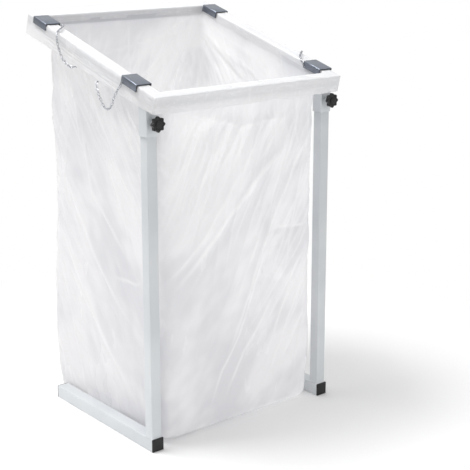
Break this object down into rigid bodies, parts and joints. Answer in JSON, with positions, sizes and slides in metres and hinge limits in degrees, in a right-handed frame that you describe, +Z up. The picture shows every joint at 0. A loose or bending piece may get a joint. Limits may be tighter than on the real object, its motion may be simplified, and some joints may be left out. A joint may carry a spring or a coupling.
{
  "type": "bin bag holder",
  "caption": "Free-standing rubbish sack holder: square-tube stand, sloping clamped top frame and a large translucent film bag folded over it, held by chained clips.",
  "frame": {"origin": "the point of the floor under the middle of the whole holder's box", "axes": "+X to the right seen from the knobs' side, +Y from the front to the back, +Z up"},
  "size_m": [0.6496, 0.6215, 1.0903],
  "materials": {
    "painted_steel": "semi-gloss light grey powder coat",
    "cap_plastic": "fine-grained black moulding",
    "knob_plastic": "satin black moulding",
    "screw_steel": "zinc-plated thread",
    "clip_steel": "rolled sheet, dull",
    "clip_rubber": "matt black sheet",
    "chain_steel": "plated wire",
    "film": "translucent film, soft gloss"
  },
  "bodies": {
    "stand": {"left_foot": "painted_steel", "left_front_cap": "cap_plastic", "left_rear_cap": "cap_plastic", "left_post": "painted_steel", "right_foot": "painted_steel", "right_front_cap": "cap_plastic", "right_rear_cap": "cap_plastic", "right_post": "painted_steel"},
    "frame": {"left_sleeve": "painted_steel", "left_weld_nut": "painted_steel", "right_sleeve": "painted_steel", "right_weld_nut": "painted_steel", "front_rail": "painted_steel", "rear_rail": "painted_steel", "left_rail": "painted_steel", "right_rail": "painted_steel", "film_bag": "film", "front_left_chain_lug": "painted_steel", "front_left_chain": "chain_steel", "front_right_chain_lug": "painted_steel", "front_right_chain": "chain_steel", "rear_left_chain_lug": "painted_steel", "rear_left_chain": "chain_steel", "rear_right_chain_lug": "painted_steel", "rear_right_chain": "chain_steel"},
    "left_knob": {"left_knob_grip": "knob_plastic", "left_knob_stud": "screw_steel"},
    "right_knob": {"right_knob_grip": "knob_plastic", "right_knob_stud": "screw_steel"},
    "front_left_clip": {"front_left_clip": "clip_steel", "front_left_clip_lining": "clip_rubber"},
    "front_right_clip": {"front_right_clip": "clip_steel", "front_right_clip_lining": "clip_rubber"},
    "rear_left_clip": {"rear_left_clip": "clip_steel", "rear_left_clip_lining": "clip_rubber"},
    "rear_right_clip": {"rear_right_clip": "clip_steel", "rear_right_clip_lining": "clip_rubber"}
  },
  "joints": [
    {"name": "frame_lift", "type": "slide", "parent": "stand", "child": "frame", "axis": [0, 0, 1], "range_m": [0, 0.03]},
    {"name": "left_knob_turn", "type": "hinge", "parent": "frame", "child": "left_knob", "pos_m": [-0.2885, -0.2639, 0.857], "axis": [0, -1, 0], "range_deg": [0, 1080]},
    {"name": "right_knob_turn", "type": "hinge", "parent": "frame", "child": "right_knob", "pos_m": [0.2885, -0.2639, 0.857], "axis": [0, -1, 0], "range_deg": [0, 1080]},
    {"name": "front_left_clip_lift", "type": "slide", "parent": "frame", "child": "front_left_clip", "axis": [0, -0.2672, 0.9636], "range_m": [0, 0.04], "deforming": ["front_left_chain"]},
    {"name": "front_right_clip_lift", "type": "slide", "parent": "frame", "child": "front_right_clip", "axis": [0, -0.2672, 0.9636], "range_m": [0, 0.04], "deforming": ["front_right_chain"]},
    {"name": "rear_left_clip_lift", "type": "slide", "parent": "frame", "child": "rear_left_clip", "axis": [0, -0.2672, 0.9636], "range_m": [0, 0.04], "deforming": ["rear_left_chain"]},
    {"name": "rear_right_clip_lift", "type": "slide", "parent": "frame", "child": "rear_right_clip", "axis": [0, -0.2672, 0.9636], "range_m": [0, 0.04], "deforming": ["rear_right_chain"]}
  ]
}
